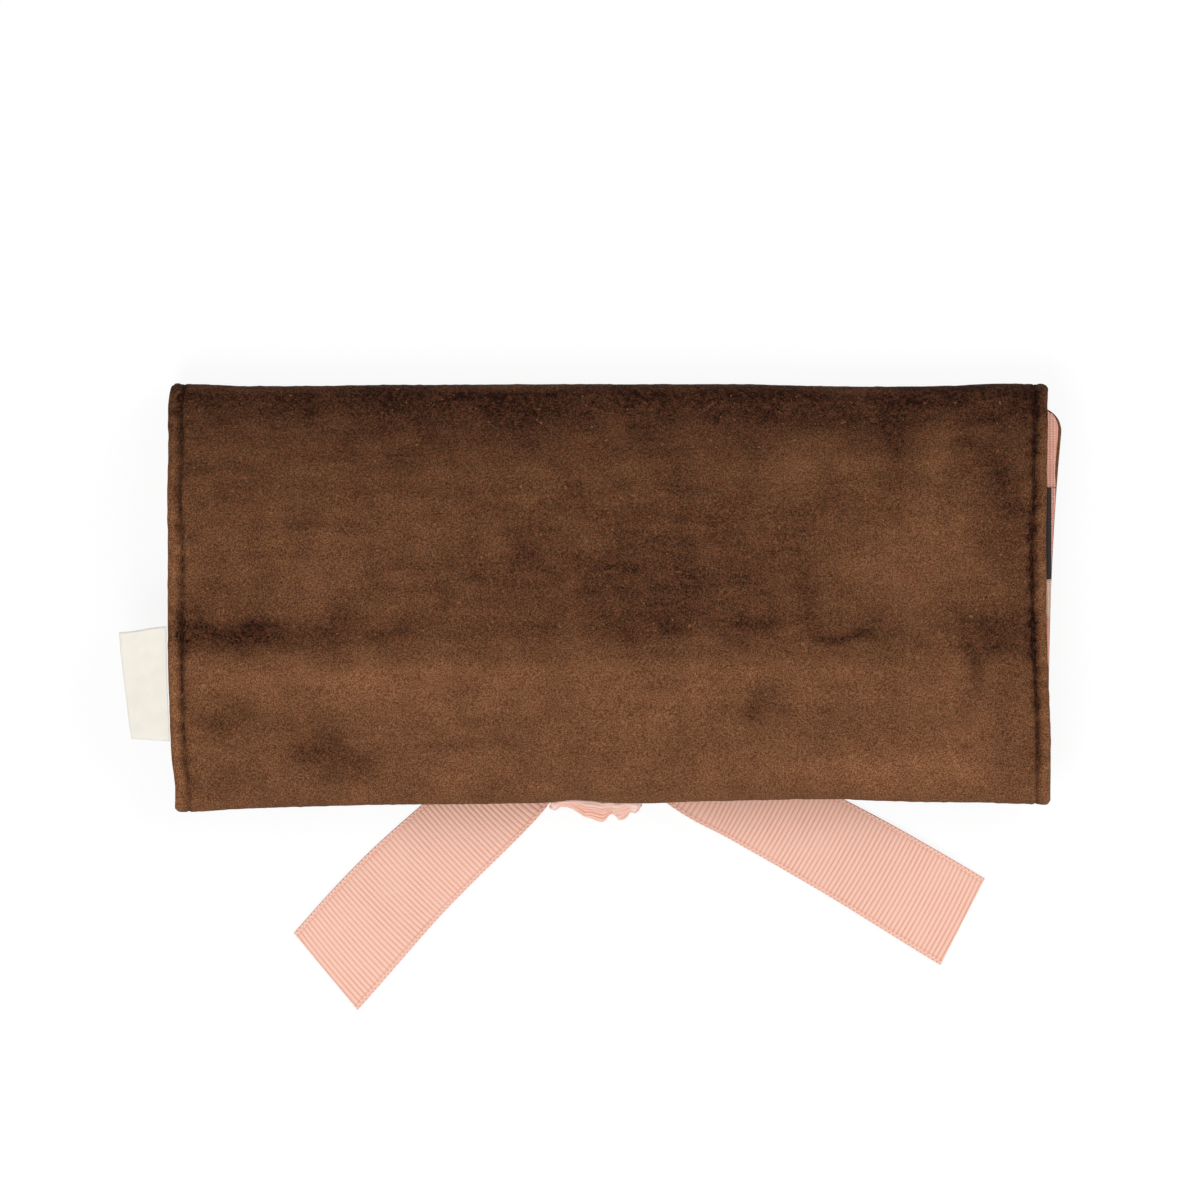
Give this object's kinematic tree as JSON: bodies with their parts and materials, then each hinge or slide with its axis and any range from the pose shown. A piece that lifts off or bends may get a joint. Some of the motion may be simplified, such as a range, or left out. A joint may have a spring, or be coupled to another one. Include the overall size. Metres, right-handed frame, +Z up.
{
  "type": "jewelry roll",
  "caption": "Padded velvet jewelry roll, folded shut and tied with a ribbon bow, with a zipped pocket, a slip pocket and a snap-down ring bar inside.",
  "frame": {"origin": "on the table, at the middle of the flap's flat velvet face, which is also the middle of the folded roll seen from above", "axes": "+X along the folds, +Y across the back panel to the top fold, +Z up from the table, out of the back panel"},
  "size_m": [0.2375, 0.1569, 0.0271],
  "materials": {
    "velvet": "brown cotton velvet with a short nap",
    "wadding": "white polyester wadding",
    "lining": "pink ribbed satin",
    "ribbon": "pale pink grosgrain ribbon with fine cross ribs",
    "label": "cream woven label, bare",
    "zip_tape": "black woven zip tape",
    "zip_teeth": "moulded, semi-matte",
    "metal": "polished pale gold plating"
  },
  "bodies": {
    "flap": {"flap_velvet": "velvet", "flap_wadding": "wadding", "flap_lining": "lining", "top_fold_velvet": "velvet", "top_fold_wadding": "wadding", "top_fold_lining": "lining", "flap_ribbon": "ribbon", "bow_knot": "ribbon", "bow_loop_left": "ribbon", "bow_loop_right": "ribbon", "ribbon_tail_left": "ribbon", "ribbon_tail_right": "ribbon", "snap_stud": "metal"},
    "back_panel": {"back_panel_velvet": "velvet", "back_panel_wadding": "wadding", "back_panel_lining": "lining", "bottom_fold_velvet": "velvet", "bottom_fold_wadding": "wadding", "bottom_fold_lining": "lining", "slip_pocket": "lining", "slip_pocket_hem": "velvet", "side_label": "label"},
    "inner_panel": {"inner_panel_velvet": "velvet", "inner_panel_wadding": "wadding", "inner_panel_lining": "lining", "pocket_strip": "lining", "pocket_front": "lining", "zip_tape_upper": "zip_tape", "zip_tape_lower": "zip_tape", "zip_teeth_upper": "zip_teeth", "zip_teeth_lower": "zip_teeth", "zip_stop_closed_end": "metal", "zip_stop_upper": "metal", "zip_stop_lower": "metal", "fold_ribbon": "ribbon"},
    "zip_slider": {"zip_slider": "metal"},
    "pull_tab": {"pull_tab": "metal"},
    "ring_bar": {"ring_bar_cover": "velvet", "ring_bar_filling": "wadding", "ring_bar_anchor_tab": "velvet", "ring_bar_snap_tab": "velvet", "snap_socket": "metal", "snap_cap": "metal"}
  },
  "joints": [
    {"name": "flap_fold", "type": "hinge", "parent": "flap", "child": "back_panel", "pos_m": [0, 0.052, 0.0136], "axis": [-1, 0, 0], "range_deg": [0, 180], "deforming": ["top_fold_velvet", "top_fold_wadding", "top_fold_lining"]},
    {"name": "inner_panel_fold", "type": "hinge", "parent": "back_panel", "child": "inner_panel", "pos_m": [0, -0.049, 0.0147], "axis": [-1, 0, 0], "range_deg": [0, 21.6], "deforming": ["bottom_fold_velvet", "bottom_fold_wadding", "bottom_fold_lining"]},
    {"name": "zip_slide", "type": "slide", "parent": "inner_panel", "child": "zip_slider", "axis": [-1, 0, 0], "range_m": [0, 0.18], "deforming": ["zip_teeth_upper", "zip_teeth_lower"]},
    {"name": "pull_tab_swing", "type": "hinge", "parent": "zip_slider", "child": "pull_tab", "pos_m": [0.09025, 0.01497, 0.02112], "axis": [0, 0.9971, 0.0756], "range_deg": [0, 90]},
    {"name": "ring_bar_lift", "type": "hinge", "parent": "flap", "child": "ring_bar", "pos_m": [-0.099, 0.024, 0.0036], "axis": [0, -1, 0], "range_deg": [0, 9]}
  ],
  "couplings": [
    {"joint": "inner_panel_fold", "follows": "flap_fold", "ratio": 0.12},
    {"joint": "pull_tab_swing", "follows": "flap_fold", "ratio": 0.5},
    {"joint": "ring_bar_lift", "follows": "flap_fold", "ratio": 0.05}
  ]
}
